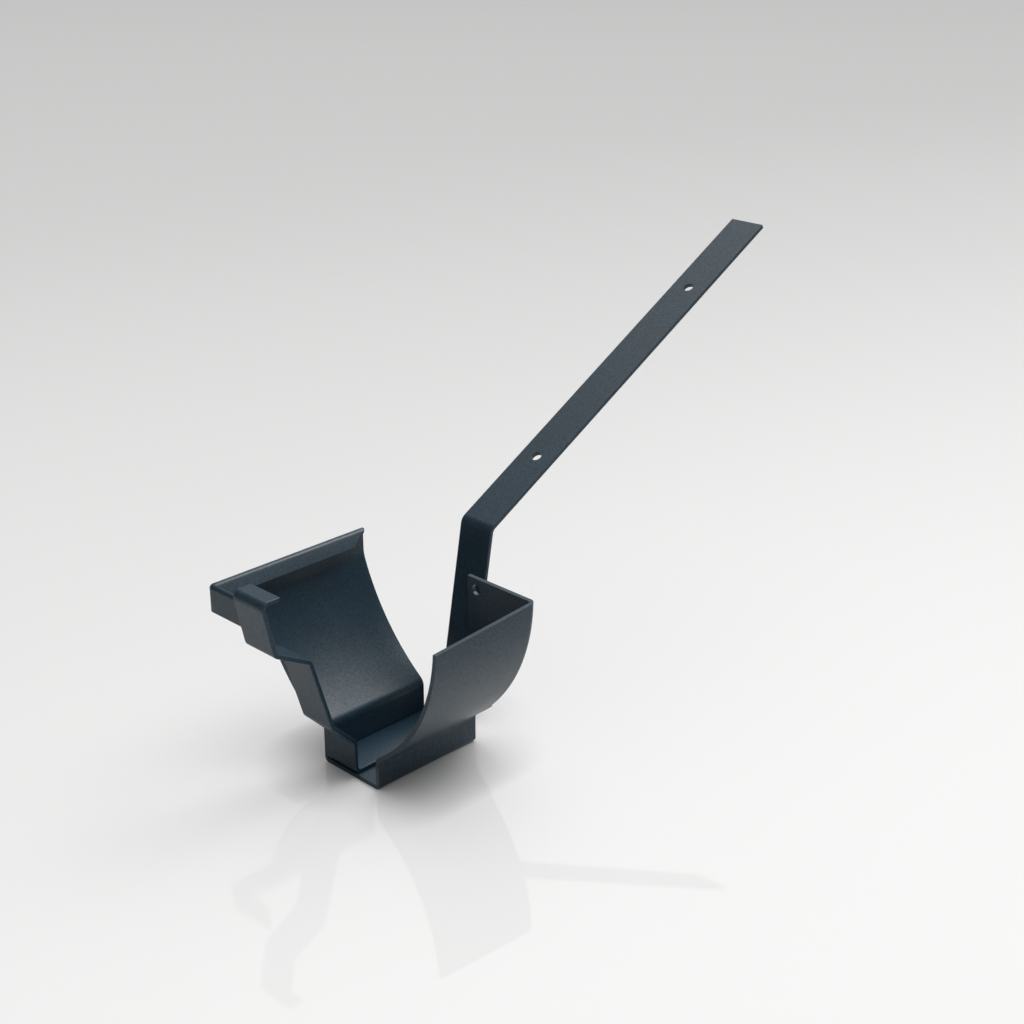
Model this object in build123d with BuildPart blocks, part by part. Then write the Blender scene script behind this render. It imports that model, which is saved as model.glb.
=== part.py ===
# Gutter bracket in bent flat bar and folded sheet.
# Millimetres, +Z up. X runs from the front hook back to the rafter arm, Y runs along the gutter to the left.
# The origin is the centre of the lower screw hole in the rafter arm, halfway through the bar.
# The sizes below are measured from the front end of the channel, on its middle line and its underside.
from build123d import *
from math import cos, radians, sin, sqrt, tan
import os

os.makedirs("parts", exist_ok=True)

# Flat bar of the strap.
bar_width = 25.0
bar_thickness = 2.5
bar_bend_radius = 2.0
bar_edge_round = 0.5
side_clearance = 0.5

# Folded sheet of the cradle.
sheet = 2.5
channel_length = 76.0
channel_inner_width = 42.0
channel_bend_radius = 0.5
wing_bend_radius = 4.0

# Front of the strap: distance out in front of the channel, and height above its underside.
hook_tab_length = 13.0
hook_out = 60.2
hook_top = 130.5
ledge_out = 53.0
ledge_top = 96.5
shank_out = 30.0
shank_top = 84.0
step_out = 16.7
step_top = 38.5
riser_out = 1.0
riser_top = 22.5

# Rear of the strap and the rafter arm.
back_lean_deg = 10.0
back_foot_reach = 90.3
back_top = 119.4
rafter_pitch_deg = 28.8
arm_bend_radius = 4.0
rafter_arm_length = 284.5
first_screw_from_bend = 57.4
screw_spacing = 159.8
screw_hole_diameter = 6.5

# Curved wings: where each leaves the channel, how far its inner face stands out, and its radius.
left_wing_foot = 23.8
left_wing_reach = 72.3
left_wing_radius = 138.0
left_wing_overhang = 4.0
right_wing_foot = 19.6
right_wing_reach = 70.2
right_wing_radius = 108.0
right_wing_top_front = 103.0
right_wing_top_rear = 108.5

# Rolled lip on the left wing, with its return round the front corner.
lip_top = 109.0
lip_skirt_depth = 16.5
lip_blend_radius = 20.0
lip_gap = 0.5
lip_flange_depth = 9.5
lip_flange_end_cut = 9.0
lip_front_overhang = 37.5
lip_corner_radius = 3.5
lip_return_length = 36.0
lip_return_end_round = 2.0

# Rear plate folded in from the right wing, down to a slit just above the wing's foot.
plate_foot = 30.0
plate_end_from_middle = 20.5
plate_bend_radius = 4.5
plate_slit = 0.4
plate_hole_from_end = 7.0
plate_hole_from_top = 7.2
plate_hole_diameter = 6.5

# Sizes that follow from the ones above.
channel_half = channel_inner_width / 2
strap_left = channel_half - side_clearance
strap_right = strap_left - bar_width
strap_middle = (strap_left + strap_right) / 2
beyond = 400.0


def along(start, angle_deg, length):
    """Point at a distance from another, along an angle above the horizontal."""
    angle = radians(angle_deg)
    return (start[0] + length * cos(angle), start[1] + length * sin(angle))


def wing_centre(foot, top, radius):
    """Centre of the arc from a wing's foot to its top, on the gutter's side, as (distance out, height)."""
    run = top[0] - foot[0]
    rise = top[1] - foot[1]
    chord = sqrt(run * run + rise * rise)
    back = sqrt(radius * radius - chord * chord / 4)
    return ((foot[0] + top[0]) / 2 - rise / chord * back, (foot[1] + top[1]) / 2 + run / chord * back)


def out_at(centre, radius, height):
    """Distance out of a wing's face at a height."""
    return centre[0] + sqrt(radius * radius - (height - centre[1]) ** 2)


def height_at(centre, radius, distance):
    """Height of a wing's face at a distance out."""
    return centre[1] - sqrt(radius * radius - (distance - centre[0]) ** 2)


# Outer line of the strap, as (x, z): the face that is away from the gutter.
arm_bend = (back_foot_reach + (back_top - sheet) * tan(radians(back_lean_deg)), back_top)
arm_tip = along(arm_bend, rafter_pitch_deg, rafter_arm_length)
strap_line = [
    (hook_tab_length - hook_out, hook_top),
    (-hook_out, hook_top),
    (-ledge_out, ledge_top),
    (-shank_out, shank_top),
    (-step_out, step_top),
    (-riser_out, riser_top),
    (-riser_out, sheet),
    (back_foot_reach, sheet),
    arm_bend,
    arm_tip,
]
convex = bar_bend_radius + bar_thickness
concave = bar_bend_radius
bend_radii = [convex, convex, concave, convex, concave, convex, convex, arm_bend_radius]

# The strap: one flat bar bent from the hook tab to the tip of the rafter arm.
with BuildPart() as hanger_strap:
    with BuildSketch(Plane.XZ.offset(-strap_left)) as strap_section:
        with BuildLine() as strap_outline:
            FilletPolyline(*strap_line, radius=bend_radii)
            offset(amount=bar_thickness, side=Side.LEFT)
        make_face()
    extrude(amount=bar_width)
    side_faces = hanger_strap.faces().filter_by(Axis.Y)
    fillet(side_faces.edges(), bar_edge_round)
    lower_hole = along(arm_bend, rafter_pitch_deg, first_screw_from_bend)
    lower_hole_middle = along(lower_hole, rafter_pitch_deg + 90, bar_thickness / 2)
    pitch = radians(rafter_pitch_deg)
    arm_plane = Plane(
        origin=(lower_hole_middle[0], strap_middle, lower_hole_middle[1]),
        x_dir=(cos(pitch), 0, sin(pitch)),
        z_dir=(-sin(pitch), 0, cos(pitch)),
    )
    with BuildSketch(arm_plane) as screw_holes:
        with Locations((0, 0), (screw_spacing, 0)):
            Circle(screw_hole_diameter / 2)
    extrude(amount=bar_thickness, both=True, mode=Mode.SUBTRACT)

# Section of the cradle, as (y, z): channel, both wings and the rolled lip.
channel_outer_half = channel_half + sheet
lip_skirt_bottom = lip_top - lip_skirt_depth
lip_fold_height = lip_top - sheet - lip_gap / 2
flange_bottom = lip_top - lip_flange_depth
flange_back = left_wing_reach - lip_gap
flange_front = flange_back - sheet
lip_outer_face = left_wing_reach + sheet
right_top_uncut = right_wing_top_rear + sheet
left_foot = (channel_half, left_wing_foot)
left_top = (left_wing_reach, lip_skirt_bottom)
left_centre = wing_centre(left_foot, left_top, left_wing_radius)
left_outer_radius = left_wing_radius + sheet
left_outer_foot = (channel_outer_half, height_at(left_centre, left_outer_radius, channel_outer_half))
left_outer_top = (lip_outer_face, height_at(left_centre, left_outer_radius, lip_outer_face))
left_middle = (left_top[1] + left_foot[1]) / 2
right_foot = (-channel_half, right_wing_foot)
right_centre = wing_centre((channel_half, right_wing_foot), (right_wing_reach, right_wing_top_rear), right_wing_radius)
right_outer_radius = right_wing_radius + sheet
right_outer_foot = (-channel_outer_half, height_at(right_centre, right_outer_radius, channel_outer_half))
right_top = (-out_at(right_centre, right_wing_radius, right_top_uncut), right_top_uncut)
right_outer_top = (-out_at(right_centre, right_outer_radius, right_top_uncut), right_top_uncut)
right_middle = (right_top_uncut + right_wing_foot) / 2


def nearest(vertices, point):
    """Vertex of a section that lies at a point of its plane."""
    return min(vertices, key=lambda vertex: (vertex.X - point[0]) ** 2 + (vertex.Y - point[1]) ** 2)


# Bends of the section that aren't drawn in its outline, as a corner and a radius.
tight_bend = wing_bend_radius
wide_bend = wing_bend_radius + sheet
cradle_bends = [
    ((-channel_half, sheet), channel_bend_radius),
    ((channel_half, sheet), channel_bend_radius),
    ((-channel_outer_half, 0), channel_bend_radius + sheet),
    ((channel_outer_half, 0), channel_bend_radius + sheet),
    (left_foot, wide_bend),
    (right_foot, wide_bend),
    (left_outer_foot, tight_bend),
    (right_outer_foot, tight_bend),
    (left_top, lip_blend_radius),
    (left_outer_top, lip_blend_radius + sheet),
]
left_overhang_start = channel_outer_half + wide_bend

# The cradle: one sheet, folded into channel, wings, lip, return and rear plate.
with BuildPart() as cradle:
    lip_corner_start = lip_corner_radius - lip_front_overhang
    with BuildSketch(Plane.YZ.offset(lip_corner_start)) as cradle_section:
        with BuildLine() as cradle_outline:
            ThreePointArc(
                right_top,
                (-out_at(right_centre, right_wing_radius, right_middle), right_middle),
                right_foot,
            )
            Polyline(right_foot, (-channel_half, sheet), (channel_half, sheet), left_foot)
            ThreePointArc(
                left_foot,
                (out_at(left_centre, left_wing_radius, left_middle), left_middle),
                left_top,
            )
            Line(left_top, (left_wing_reach, lip_fold_height))
            ThreePointArc(
                (left_wing_reach, lip_fold_height),
                (left_wing_reach - lip_gap / 2, lip_fold_height + lip_gap / 2),
                (flange_back, lip_fold_height),
            )
            Polyline(
                (flange_back, lip_fold_height),
                (flange_back, flange_bottom),
                (flange_front, flange_bottom),
                (flange_front, lip_fold_height),
            )
            ThreePointArc(
                (flange_front, lip_fold_height),
                (left_wing_reach - lip_gap / 2, lip_top),
                (lip_outer_face, lip_fold_height),
            )
            Line((lip_outer_face, lip_fold_height), left_outer_top)
            ThreePointArc(
                left_outer_top,
                (out_at(left_centre, left_outer_radius, left_middle), left_middle),
                left_outer_foot,
            )
            Polyline(
                left_outer_foot,
                (channel_outer_half, 0),
                (-channel_outer_half, 0),
                right_outer_foot,
            )
            ThreePointArc(
                right_outer_foot,
                (-out_at(right_centre, right_outer_radius, right_middle), right_middle),
                right_outer_top,
            )
            Line(right_outer_top, right_top)
        make_face()
        for point, radius in cradle_bends:
            fillet(nearest(cradle_section.vertices(), point), radius)
    extrude(amount=channel_length - lip_corner_start)

    # The front ends of the channel and both wings, back from the lip's own front end.
    with BuildSketch(Plane.XZ.offset(beyond)) as open_front:
        with Locations((-left_wing_overhang, lip_skirt_bottom)):
            Rectangle(beyond, beyond, align=(Align.MAX, Align.MAX))
    extrude(amount=-2 * beyond, mode=Mode.SUBTRACT)
    with BuildSketch(Plane.XZ.offset(beyond)) as channel_front:
        Rectangle(beyond, beyond, align=(Align.MAX, Align.CENTER))
    extrude(amount=-beyond - left_overhang_start, mode=Mode.SUBTRACT)

    # The rear end of the lip's inner flange is cut aslant, from the top of the fold down.
    cut_slope = lip_flange_end_cut / lip_flange_depth
    with BuildSketch(Plane.XZ.offset(lip_gap / 2 - left_wing_reach)) as flange_end:
        with BuildLine() as flange_end_outline:
            Polyline(
                (channel_length + cut_slope * sheet, lip_top + sheet),
                (channel_length - lip_flange_end_cut - cut_slope * sheet, flange_bottom - sheet),
                (channel_length + cut_slope * sheet, flange_bottom - sheet),
                close=True,
            )
        make_face()
    extrude(amount=2 * sheet, mode=Mode.SUBTRACT)

    # The lip's front end: its outer wall turns a rounded corner and comes back across the front.
    with BuildSketch(Plane.YZ.offset(lip_corner_start)) as return_section:
        with BuildLine() as return_section_outline:
            Polyline(
                (lip_outer_face, lip_top - sheet),
                (lip_outer_face, lip_skirt_bottom),
                (left_wing_reach, lip_skirt_bottom),
                (left_wing_reach, lip_top),
            )
            RadiusArc((left_wing_reach, lip_top), (lip_outer_face, lip_top - sheet), sheet)
        make_face()
    with BuildLine(Plane.XY) as return_path:
        corner_centre = (lip_corner_start, lip_outer_face - lip_corner_radius)
        CenterArc(corner_centre, lip_corner_radius, 90, 90)
        Line(
            (-lip_front_overhang, lip_outer_face - lip_corner_radius),
            (-lip_front_overhang, lip_outer_face - lip_return_length),
        )
    sweep()
    return_end = cradle.edges().filter_by(Axis.X).sort_by_distance(
        (-lip_front_overhang, lip_outer_face - lip_return_length, lip_skirt_bottom)
    )
    fillet(return_end[0], lip_return_end_round)

    # The rear plate, folded in from the rear end of the right wing.
    with BuildSketch(Plane.YZ.offset(channel_length - sheet)) as plate_section:
        with Locations((-plate_end_from_middle, right_top_uncut)):
            Rectangle(beyond, right_top_uncut - plate_foot, align=(Align.MAX, Align.MAX))
        with Locations((-right_centre[0], right_centre[1])):
            Circle(right_outer_radius, mode=Mode.INTERSECT)
    extrude(amount=sheet)
    with BuildSketch(Plane.XZ.offset(channel_outer_half)) as relief:
        with Locations((channel_length, plate_foot)):
            Rectangle(2 * plate_bend_radius, plate_slit, align=(Align.CENTER, Align.MAX))
    extrude(amount=beyond, mode=Mode.SUBTRACT)
    wing_edges = cradle.edges().filter_by(GeomType.CIRCLE).filter_by_position(
        Axis.Z, plate_foot - plate_slit, right_top_uncut + sheet
    )
    right_edges = wing_edges.filter_by(lambda edge: edge.center().Y < -channel_half)
    outer_bend = right_edges.filter_by(lambda edge: edge.center().X > channel_length - plate_slit)
    fillet(outer_bend, plate_bend_radius)
    bend_face = channel_length - sheet
    inner_bend = right_edges.filter_by(lambda edge: abs(edge.center().X - bend_face) < plate_slit)
    fillet(inner_bend.sort_by(SortBy.LENGTH)[-1], plate_bend_radius - sheet)

    # The top edge of the right wing and of its plate rises to the rear.
    with BuildSketch(Plane.XZ.offset(beyond)) as wing_top:
        with BuildLine() as wing_top_outline:
            slope = (right_wing_top_rear - right_wing_top_front) / channel_length
            Polyline(
                (-channel_length, right_wing_top_front - slope * channel_length),
                (2 * channel_length, right_wing_top_rear + slope * channel_length),
                (2 * channel_length, beyond),
                (-channel_length, beyond),
                close=True,
            )
        make_face()
    extrude(amount=-beyond, mode=Mode.SUBTRACT)

    # The plate's screw hole.
    hole_out = plate_end_from_middle + plate_hole_from_end
    with BuildSketch(Plane.YZ.offset(channel_length - 2 * sheet)) as plate_hole:
        with Locations((-hole_out, right_wing_top_rear - plate_hole_from_top)):
            Circle(plate_hole_diameter / 2)
    extrude(amount=2 * sheet, mode=Mode.SUBTRACT)

# Both pieces move together, so that the origin is the middle of the lower screw hole in the arm.
to_origin = Location((-lower_hole_middle[0], -strap_middle, -lower_hole_middle[1]))
hanger_strap.part.move(to_origin)
cradle.part.move(to_origin)
hanger_strap.part.label = "hanger_strap"
cradle.part.label = "cradle"
export_step(hanger_strap.part, "parts/hanger_strap.step")
export_step(cradle.part, "parts/cradle.step")
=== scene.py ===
"""Looks for a gutter bracket: powder-coated flat bar and folded sheet on a pale studio floor."""
import math

import bpy
import numpy as np
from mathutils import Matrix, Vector


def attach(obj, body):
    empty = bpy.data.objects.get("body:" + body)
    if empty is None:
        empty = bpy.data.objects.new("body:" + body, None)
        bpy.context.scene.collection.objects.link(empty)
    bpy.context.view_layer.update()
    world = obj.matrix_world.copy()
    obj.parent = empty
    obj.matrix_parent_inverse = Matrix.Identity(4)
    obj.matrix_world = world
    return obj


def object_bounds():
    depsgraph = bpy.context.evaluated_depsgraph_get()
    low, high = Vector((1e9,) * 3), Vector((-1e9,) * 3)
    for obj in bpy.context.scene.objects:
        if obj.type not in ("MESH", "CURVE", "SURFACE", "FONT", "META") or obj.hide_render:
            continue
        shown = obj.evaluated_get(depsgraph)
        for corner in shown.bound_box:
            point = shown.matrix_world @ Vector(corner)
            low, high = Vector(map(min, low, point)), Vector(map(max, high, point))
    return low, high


bl_info = {
    "name": "Gutter bracket looks",
    "version": (1, 0, 0),
    "blender": (4, 5, 0),
    "location": "View3D > Sidebar > Bracket",
    "description": "Coats the bracket's bar and cradle and sets them on a pale studio floor",
    "category": "Object",
}

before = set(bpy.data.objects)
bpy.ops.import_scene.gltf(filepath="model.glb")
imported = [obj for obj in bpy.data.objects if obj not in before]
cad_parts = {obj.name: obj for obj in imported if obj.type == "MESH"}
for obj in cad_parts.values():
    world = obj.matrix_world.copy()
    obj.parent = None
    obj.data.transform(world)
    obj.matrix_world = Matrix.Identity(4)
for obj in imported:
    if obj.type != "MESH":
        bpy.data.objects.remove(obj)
CAD_BOX = [list(corner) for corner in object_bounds()]
MM = 0.001
MICROMETRE = 1e-6

# The coat's patterns. Peel and speckle are fine, and drift is the slow change of tone and sheen.
SPECKLES_PER_PEEL = 1.25
DRIFT_SPACING = 38 * MM
TONE_OFFSET = 0.12  # added to drift times speckle, before the two tones
TONE_STOPS = (0.22, 0.58)  # where the low tone ends and the full tone begins
NOISE_BAND = (0.3, 0.7)  # where most of a noise's values lie
SHEEN_SPREAD = (-0.03, 0.04)  # roughness over the band, added to the coat's own
GLOSS_BAND = (0.4, 0.62)  # specular level over the band
COAT_IOR = 1.5

# The lip in the row frame, in millimetres: the top of its roll along the left wing, as x from the
# return's back to the wing's rear end, and the middle and radius of the roll's round, as y and z.
LIP_FRONT = -195.65
LIP_REAR = -84.61
ROLL_Y = 64.05
ROLL_Z = -41.898
ROLL_RADIUS = 2.75

# The flange that is rolled in from the lip, in millimetres and degrees.
FLANGE_SKIN = 0.06  # how far it stands proud of the roll
FLANGE_START = 15  # from the roll's top
FLANGE_SLOPE = 56
ROUND_POINTS = 7
STRAIGHT_END_Z = -46.42
EDGE_TURN = (0.12, -0.35)  # from the straight's end to the middle of the turned edge
EDGE_END = (57.61, -46.87)
UNDERSIDE_Y = ROLL_Y - 0.4
UNDERSIDE_Z = -48.47
REAR_LEAN = 1.75  # length lost at the rear for each millimetre below the lip's top
REAR_LEAN_DEPTH = 8.3
SHARP_ANGLE = 30

# The floor. The channel's flat underside is the lowest face of the bracket, and it stands there.
FLOOR_HEIGHT = CAD_BOX[0][2]
FLOOR_REACH = 30.0  # half of the square's side, in metres
FLOOR_IOR = 1.45
FLOOR_SHOWN_IOR = 1.36  # a little less mirror image for the camera
FLOOR_LIT_SHARE = 0.82  # of its colour, towards the bracket
# Painted shade: the floor's own light is made darker towards the far left, rising from the first
# level to the second along the direction towards the near side.
TOWARDS_NEAR = (-0.25, -0.97, 0.0)
FADE_FROM_TO = (-1.6, 0.4)  # metres along that direction
FADE_LEVELS = (0.68, 1.1)
PAINTED_CONTACT_SHADE_REACH = 0.045  # metres of floor round the bracket over which a painted contact shadow darkens the floor's own light
# How sharply the painted contact shadow on the floor's own light falls off.
PAINTED_CONTACT_SHADE_POWER = 2.0

# Each patch of sky: the direction of its middle, and the cosines of the angles from there at which
# it begins and is full.
WIDE_PATCH = (0.45, 0.05, 0.89), 0.6, 0.95
SMALL_PATCH = (0.66, -0.14, 0.738), 0.94, 0.994
SKY_COLOUR = "#fcfcfb"
BACKDROP_COLOUR = "#c3c3c3"

# The photograph's camera, in metres and millimetres, solved from the bracket's straight edges.
CAMERA_PLACE = (-0.70061, -0.66370, 0.37165)
CAMERA_DIRECTION = (0.6588, 0.6440, -0.3888)
CAMERA_LENS = 60.29
CAMERA_SENSOR = 36.0
CAMERA_CLIP = (0.01, 40.0)


def linear(hex_colour, share=1.0):
    """An sRGB hex colour such as "#3a4046", as linear red, green and blue, each times a share, with
    alpha 1."""
    channels = [int(hex_colour[i : i + 2], 16) / 255 for i in (1, 3, 5)]
    levels = [c / 12.92 if c <= 0.04045 else ((c + 0.055) / 1.055) ** 2.4 for c in channels]
    return tuple(level * share for level in levels) + (1.0,)


def add(tree, kind, links=None, **settings):
    """Adds a node. A setting is a property of the node or the name of an input, and links maps an
    input to an output socket."""
    node = tree.nodes.new(kind)
    for name, value in settings.items():
        if name in node.bl_rna.properties:
            setattr(node, name, value)
        else:
            node.inputs[name.replace("_", " ")].default_value = value
    for name, socket in (links or {}).items():
        tree.links.new(socket, node.inputs[name])
    return node


def new_material(name):
    """An empty node material with its output node."""
    material = bpy.data.materials.new(name)
    material.use_nodes = True
    material.node_tree.nodes.clear()
    return material, material.node_tree, material.node_tree.nodes.new("ShaderNodeOutputMaterial")


def powder_coat(name, tone, tone_low, looks):
    """Satin polyester powder coat, sprayed dry and baked. The eye sees one dark blue-grey colour, a
    soft sheen with no sharp reflections, and a faint orange peel left where the powder flowed
    together. Real peel is about 1 mm from crest to crest, and it is drawn a little coarser so that
    it shows. Sheared edges look rounded by the thickness that the powder builds up on them."""
    material, tree, output = new_material(name)
    place = {"Vector": add(tree, "ShaderNodeTexCoord").outputs["Object"]}
    peels = 1 / looks.peel_spacing
    speckles = peels * SPECKLES_PER_PEEL
    drifts = 1 / DRIFT_SPACING
    peel = add(tree, "ShaderNodeTexNoise", place, Scale=peels, Detail=2.0, Roughness=0.45)
    speckle = add(tree, "ShaderNodeTexNoise", place, Scale=speckles, Detail=1.0, Roughness=0.6)
    drift = add(tree, "ShaderNodeTexNoise", place, Scale=drifts, Detail=3.0, Roughness=0.55)
    tones = add(
        tree,
        "ShaderNodeMath",
        {0: drift.outputs["Fac"], 1: speckle.outputs["Fac"]},
        operation="MULTIPLY_ADD",
    )
    tones.inputs[2].default_value = TONE_OFFSET
    shade = add(tree, "ShaderNodeValToRGB", {"Fac": tones.outputs[0]})
    for stop, position, colour in zip(shade.color_ramp.elements, TONE_STOPS, (tone_low, tone)):
        stop.position = position
        stop.color = linear(colour)
    sheen = add(
        tree,
        "ShaderNodeMapRange",
        {"Value": drift.outputs["Fac"]},
        From_Min=NOISE_BAND[0],
        From_Max=NOISE_BAND[1],
        To_Min=looks.coat_roughness + SHEEN_SPREAD[0],
        To_Max=looks.coat_roughness + SHEEN_SPREAD[1],
    )
    gloss = add(
        tree,
        "ShaderNodeMapRange",
        {"Value": speckle.outputs["Fac"]},
        From_Min=NOISE_BAND[0],
        From_Max=NOISE_BAND[1],
        To_Min=GLOSS_BAND[0],
        To_Max=GLOSS_BAND[1],
    )
    edge = add(tree, "ShaderNodeBevel", samples=6, Radius=looks.edge_radius)
    bump = add(
        tree,
        "ShaderNodeBump",
        {"Height": peel.outputs["Fac"], "Normal": edge.outputs["Normal"]},
        Strength=1.0,
        Distance=looks.peel_height * MICROMETRE,
    )
    shader = add(
        tree,
        "ShaderNodeBsdfPrincipled",
        {
            "Base Color": shade.outputs["Color"],
            "Roughness": sheen.outputs["Result"],
            "Specular IOR Level": gloss.outputs["Result"],
            "Normal": bump.outputs["Normal"],
        },
        IOR=COAT_IOR,
    )
    tree.links.new(shader.outputs["BSDF"], output.inputs["Surface"])
    return material


def coat_node(name, material):
    """Gives a CAD node its coat."""
    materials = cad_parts[name].data.materials
    materials.clear()
    materials.append(material)


def flange_section():
    """Section of the lip's inward roll, as rows of y and z in millimetres. It follows the CAD roll's
    round, a skin further out, from near its top to where the round has the flange's slope. From
    there it runs straight down to the flange's lower edge, turns it in three points and goes back
    under the flange to the wing's wall."""
    turn = np.radians(np.linspace(FLANGE_START, FLANGE_SLOPE, ROUND_POINTS))
    radius = ROLL_RADIUS + FLANGE_SKIN
    round_part = np.column_stack([ROLL_Y - radius * np.sin(turn), ROLL_Z + radius * np.cos(turn)])
    slope = math.radians(FLANGE_SLOPE)
    down = np.array([-math.cos(slope), -math.sin(slope)])
    straight_length = (round_part[-1][1] - STRAIGHT_END_Z) / math.sin(slope)
    straight_end = round_part[-1] + down * straight_length
    edge = np.array([straight_end, straight_end + EDGE_TURN, EDGE_END])
    under = np.array([[UNDERSIDE_Y, UNDERSIDE_Z], [UNDERSIDE_Y, ROLL_Z]])
    return np.vstack([round_part, edge, under])


def rolled_flange(material):
    """The lip's inner flange, rolled in from its top at a steep slope. Its surface is the section
    above, carried along x from the front ring to the rear ring, with both ends closed. The front
    ring is square, behind the lip's return. The rear ring leans forward, by the same length for
    each millimetre below the lip's top, as the end of the folded sheet is cut."""
    section = flange_section()
    count = len(section)
    depth = (ROLL_Z + ROLL_RADIUS - section[:, 1]).clip(0, REAR_LEAN_DEPTH)
    front = np.column_stack([np.full(count, LIP_FRONT), section])
    rear = np.column_stack([LIP_REAR - REAR_LEAN * depth, section])
    points = np.vstack([front, rear]) * MM
    walls = [(i, (i + 1) % count, (i + 1) % count + count, i + count) for i in range(count)]
    ends = [tuple(range(count))[::-1], tuple(range(count, 2 * count))]
    mesh = bpy.data.meshes.new("lip_flange")
    mesh.from_pydata(points.tolist(), [], walls + ends)
    mesh.materials.append(material)
    mesh.shade_smooth()
    mesh.set_sharp_from_angle(angle=math.radians(SHARP_ANGLE))
    flange = bpy.data.objects.new("lip_flange", mesh)
    bpy.context.scene.collection.objects.link(flange)
    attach(flange, "root")


class BracketLooks(bpy.types.PropertyGroup):
    """Sizes and colours that a user would change."""

    bar_tone: bpy.props.StringProperty(
        name="Bar colour",
        description="Lighter tone of the bar's coat, as an sRGB hex value",
        default="#233e4f",
    )
    bar_tone_low: bpy.props.StringProperty(
        name="Bar low tone",
        description="Darker tone of the bar's coat, as an sRGB hex value",
        default="#1d3442",
    )
    cradle_tone: bpy.props.StringProperty(
        name="Cradle colour",
        description="Lighter tone of the cradle's coat, as an sRGB hex value",
        default="#233d4d",
    )
    cradle_tone_low: bpy.props.StringProperty(
        name="Cradle low tone",
        description="Darker tone of the cradle's coat, as an sRGB hex value",
        default="#1c3240",
    )
    coat_roughness: bpy.props.FloatProperty(
        name="Coat roughness",
        description="Roughness of the satin powder coat",
        default=0.35,
        min=0.05,
        max=1.0,
    )
    peel_spacing: bpy.props.FloatProperty(
        name="Peel spacing",
        description="Crest to crest distance of the orange peel",
        default=1.6 * MM,
        min=0.2 * MM,
        subtype="DISTANCE",
        unit="LENGTH",
    )
    peel_height: bpy.props.FloatProperty(
        name="Peel height",
        description="Height of the orange peel, in micrometres",
        default=13.0,
        min=0.0,
    )
    edge_radius: bpy.props.FloatProperty(
        name="Edge radius",
        description="Radius of the coat over a sheared edge",
        default=0.35 * MM,
        min=0.0,
        subtype="DISTANCE",
        unit="LENGTH",
    )
    floor_colour: bpy.props.StringProperty(
        name="Floor colour",
        description="Pale floor, as an sRGB hex value",
        default="#ebebeb",
    )
    floor_gloss: bpy.props.FloatProperty(
        name="Floor gloss",
        description="Roughness of the floor's faint mirror image",
        default=0.03,
        min=0.0,
        max=1.0,
    )
    floor_lift: bpy.props.FloatProperty(
        name="Floor lift",
        description="Share of the floor's paleness that is its own light",
        default=0.45,
        min=0.0,
        max=1.0,
    )
    sky_low: bpy.props.FloatProperty(
        name="Low sky",
        description="Strength of the plain light from all round",
        default=0.17,
        min=0.0,
    )
    sky_high: bpy.props.FloatProperty(
        name="High sky",
        description="Strength of the overhead diffuser at its middle",
        default=2.1,
        min=0.0,
    )
    sky_back: bpy.props.FloatProperty(
        name="Back sky",
        description="Strength added by the smaller diffuser behind the bracket",
        default=4.0,
        min=0.0,
    )
    fill_power: bpy.props.FloatProperty(
        name="Fill power",
        description="Power of the front softbox",
        default=2.0,
        min=0.0,
        unit="POWER",
    )


class BRACKET_OT_coat_bar(bpy.types.Operator):
    """Coats the bent flat bar"""

    bl_idname = "bracket.coat_bar"
    bl_label = "Coat the bar"

    def execute(self, context):
        looks = context.scene.bracket_looks
        name = "satin powder coat on flat bar"
        coat_node("hanger_strap", powder_coat(name, looks.bar_tone, looks.bar_tone_low, looks))
        return {"FINISHED"}


class BRACKET_OT_coat_cradle(bpy.types.Operator):
    """Coats the folded sheet cradle and rolls its lip in"""

    bl_idname = "bracket.coat_cradle"
    bl_label = "Coat the cradle"

    def execute(self, context):
        looks = context.scene.bracket_looks
        name = "satin powder coat on folded sheet"
        material = powder_coat(name, looks.cradle_tone, looks.cradle_tone_low, looks)
        coat_node("cradle", material)
        rolled_flange(material)
        return {"FINISHED"}


def softbox(name, place, target, width, height, power, hex_colour):
    """A rectangular soft light at a place, in metres, turned to a target. It isn't mirrored in the
    floor."""
    lamp = bpy.data.lights.new(name, "AREA")
    lamp.shape = "RECTANGLE"
    lamp.size = width
    lamp.size_y = height
    lamp.energy = power
    lamp.color = linear(hex_colour)[:3]
    holder = bpy.data.objects.new(name, lamp)
    holder.location = place
    holder.rotation_mode = "QUATERNION"
    holder.rotation_quaternion = (Vector(target) - Vector(place)).to_track_quat("-Z", "Y")
    holder.visible_glossy = False
    bpy.context.scene.collection.objects.link(holder)


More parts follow.
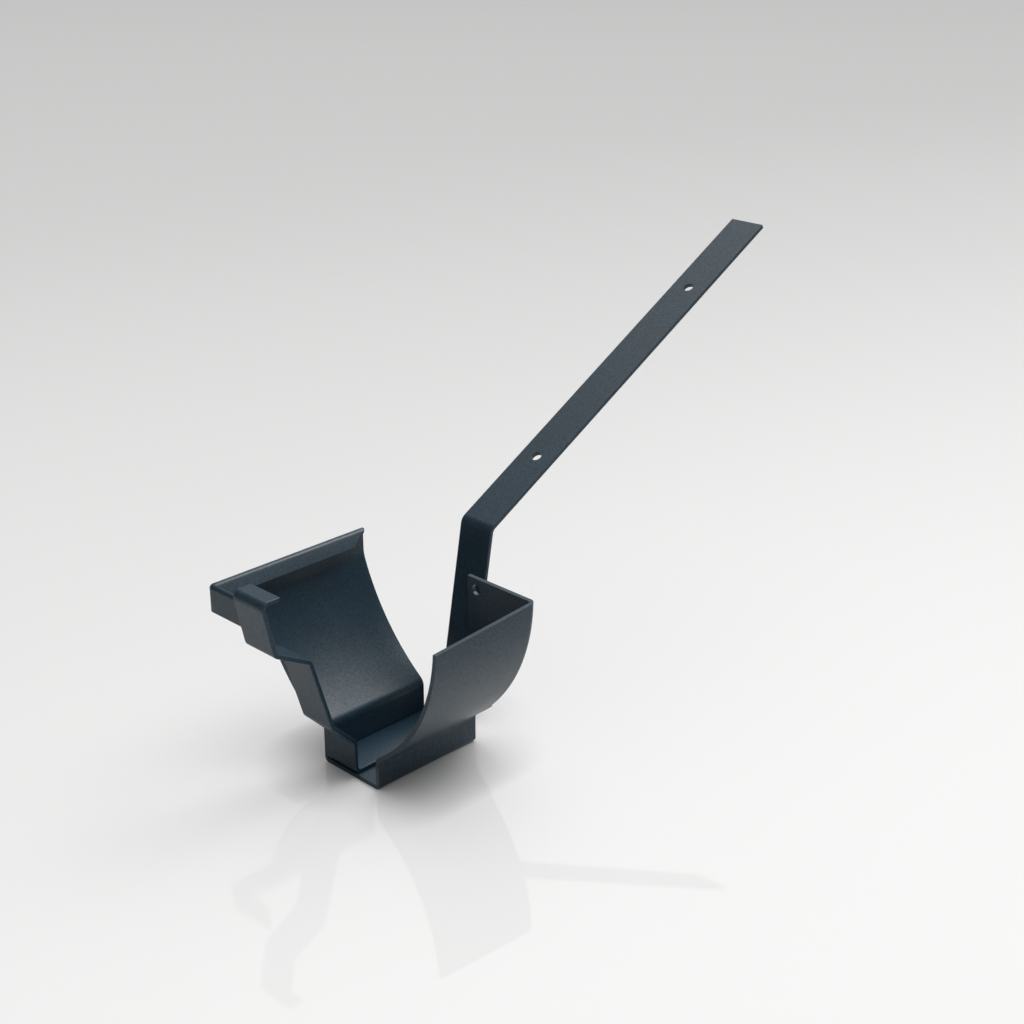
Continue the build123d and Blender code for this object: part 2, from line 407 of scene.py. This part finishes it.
def floor_finish(colour, gloss, lift):
    """Sealed, polished pale concrete. The eye sees an almost white floor that darkens to the far
    left, keeps the bracket's soft shadow and its dark line of contact, and gives back a faint mirror
    image. Part of its paleness is its own light and is seen by the camera alone, so that it puts no
    more light on the bracket. That own light is painted darker towards the far left, as painted
    shade, and painted darker round the bracket's foot by ambient occlusion, as a painted contact
    shadow over the real one."""
    material, tree, output = new_material("pale sealed studio floor")
    real = add(tree, "ShaderNodeBsdfPrincipled", Roughness=gloss, IOR=FLOOR_IOR)
    real.inputs["Base Color"].default_value = linear(colour, FLOOR_LIT_SHARE)
    shown = add(tree, "ShaderNodeBsdfPrincipled", Roughness=gloss, IOR=FLOOR_SHOWN_IOR)
    shown.inputs["Base Color"].default_value = linear(colour, 1 - lift)
    place = add(tree, "ShaderNodeTexCoord").outputs["Object"]
    along = add(tree, "ShaderNodeVectorMath", {0: place}, operation="DOT_PRODUCT")
    along.inputs[1].default_value = TOWARDS_NEAR
    # Painted shade: the floor's own light darkens smoothly towards the far left.
    painted_far_shade = add(
        tree,
        "ShaderNodeMapRange",
        {"Value": along.outputs["Value"]},
        interpolation_type="SMOOTHSTEP",
        From_Min=FADE_FROM_TO[0],
        From_Max=FADE_FROM_TO[1],
        To_Min=FADE_LEVELS[0],
        To_Max=FADE_LEVELS[1],
    )
    # Painted contact shadow: ambient occlusion, raised to a power, darkens the floor's own light
    # round the bracket's foot.
    painted_contact_shade = add(tree, "ShaderNodeAmbientOcclusion", samples=8, Distance=PAINTED_CONTACT_SHADE_REACH)
    painted_contact_shade_line = add(tree, "ShaderNodeMath", {0: painted_contact_shade.outputs["AO"]}, operation="POWER")
    painted_contact_shade_line.inputs[1].default_value = PAINTED_CONTACT_SHADE_POWER
    level = add(
        tree,
        "ShaderNodeMath",
        {0: painted_far_shade.outputs["Result"], 1: painted_contact_shade_line.outputs[0]},
        operation="MULTIPLY",
    )
    lifted = add(tree, "ShaderNodeMath", {0: level.outputs[0]}, operation="MULTIPLY")
    lifted.inputs[1].default_value = lift
    glow = add(tree, "ShaderNodeEmission", {"Strength": lifted.outputs[0]})
    glow.inputs["Color"].default_value = linear(colour)
    both = add(tree, "ShaderNodeAddShader", {0: shown.outputs[0], 1: glow.outputs[0]})
    to_camera = add(tree, "ShaderNodeLightPath").outputs["Is Camera Ray"]
    look = add(tree, "ShaderNodeMixShader", {0: to_camera, 1: real.outputs[0], 2: both.outputs[0]})
    tree.links.new(look.outputs[0], output.inputs["Surface"])
    return material


def sky_patch(tree, outward, patch, low, high):
    """Strength of a round patch of sky, from low outside it to high in its middle, by the cosine of
    the angle from its middle."""
    middle, begins, full = patch
    cosine = add(tree, "ShaderNodeVectorMath", {0: outward}, operation="DOT_PRODUCT")
    cosine.inputs[1].default_value = middle
    level = add(
        tree,
        "ShaderNodeMapRange",
        {"Value": cosine.outputs["Value"]},
        interpolation_type="SMOOTHSTEP",
        From_Min=begins,
        From_Max=full,
        To_Min=low,
        To_Max=high,
    )
    return level.outputs["Result"]


def overhead_sky(low, high, back):
    """One very large overhead diffuser, hung a little behind the bracket, and a smaller bright one
    behind it, as patches of a sky that brighten smoothly towards their middles. They have no edge,
    so the floor mirrors a soft glow and no panel. The camera sees a plain pale backdrop instead."""
    world = bpy.data.worlds.new("overhead diffuser")
    world.use_nodes = True
    tree = world.node_tree
    tree.nodes.clear()
    outward = add(tree, "ShaderNodeTexCoord").outputs["Generated"]
    wide = sky_patch(tree, outward, WIDE_PATCH, low, high)
    small = sky_patch(tree, outward, SMALL_PATCH, 0.0, back)
    total = add(tree, "ShaderNodeMath", {0: wide, 1: small}, operation="ADD")
    sky = add(tree, "ShaderNodeBackground", {"Strength": total.outputs[0]})
    sky.inputs["Color"].default_value = linear(SKY_COLOUR)
    backdrop = add(tree, "ShaderNodeBackground", Strength=1.0)
    backdrop.inputs["Color"].default_value = linear(BACKDROP_COLOUR)
    to_camera = add(tree, "ShaderNodeLightPath").outputs["Is Camera Ray"]
    seen = add(
        tree, "ShaderNodeMixShader", {0: to_camera, 1: sky.outputs[0], 2: backdrop.outputs[0]}
    )
    add(tree, "ShaderNodeOutputWorld", {"Surface": seen.outputs[0]})
    return world


def studio_floor(material):
    """The floor: a flat square centred under the bracket."""
    corners = np.array([(-1, -1), (1, -1), (1, 1), (-1, 1)], float) * FLOOR_REACH
    points = np.column_stack([corners, np.full(len(corners), FLOOR_HEIGHT)])
    mesh = bpy.data.meshes.new("studio_floor")
    mesh.from_pydata(points.tolist(), [], [(0, 1, 2, 3)])
    mesh.materials.append(material)
    floor = bpy.data.objects.new("studio_floor", mesh)
    bpy.context.scene.collection.objects.link(floor)


def photo_camera():
    """The camera at the photograph's place, direction and angle of view."""
    camera = bpy.data.cameras.new("studio_camera")
    camera.sensor_width = CAMERA_SENSOR
    camera.lens = CAMERA_LENS
    camera.clip_start, camera.clip_end = CAMERA_CLIP
    eye = bpy.data.objects.new("studio_camera", camera)
    eye.location = CAMERA_PLACE
    eye.rotation_mode = "QUATERNION"
    eye.rotation_quaternion = Vector(CAMERA_DIRECTION).to_track_quat("-Z", "Y")
    bpy.context.scene.collection.objects.link(eye)
    return eye


class BRACKET_OT_studio(bpy.types.Operator):
    """Lays the pale floor, hangs the soft lights and sets up the camera"""

    bl_idname = "bracket.studio"
    bl_label = "Set the studio"

    def execute(self, context):
        looks = context.scene.bracket_looks
        scene = context.scene
        studio_floor(floor_finish(looks.floor_colour, looks.floor_gloss, looks.floor_lift))
        scene.world = overhead_sky(looks.sky_low, looks.sky_high, looks.sky_back)
        softbox(
            "front_softbox",
            place=(-1.2, -1.4, 0.5),
            target=(-0.1, 0.0, -0.1),
            width=1.2,
            height=0.9,
            power=looks.fill_power,
            hex_colour="#fffaf2",
        )
        scene.camera = photo_camera()
        scene.view_settings.view_transform = "Standard"
        return {"FINISHED"}


class BRACKET_PT_panel(bpy.types.Panel):
    """Lists the bracket's sizes, colours and steps"""

    bl_label = "Gutter bracket"
    bl_idname = "BRACKET_PT_panel"
    bl_space_type = "VIEW_3D"
    bl_region_type = "UI"
    bl_category = "Bracket"

    def draw(self, context):
        looks = context.scene.bracket_looks
        for name in BracketLooks.__annotations__:
            self.layout.prop(looks, name)
        self.layout.operator("bracket.coat_bar")
        self.layout.operator("bracket.coat_cradle")
        self.layout.operator("bracket.studio")


CLASSES = (
    BracketLooks,
    BRACKET_OT_coat_bar,
    BRACKET_OT_coat_cradle,
    BRACKET_OT_studio,
    BRACKET_PT_panel,
)


def register():
    for cls in CLASSES:
        bpy.utils.register_class(cls)
    bpy.types.Scene.bracket_looks = bpy.props.PointerProperty(type=BracketLooks)


def unregister():
    del bpy.types.Scene.bracket_looks
    for cls in reversed(CLASSES):
        bpy.utils.unregister_class(cls)


def main():
    register()
    bpy.ops.bracket.coat_bar()
    bpy.ops.bracket.coat_cradle()
    bpy.ops.bracket.studio()


if __name__ == "__main__":
    main()
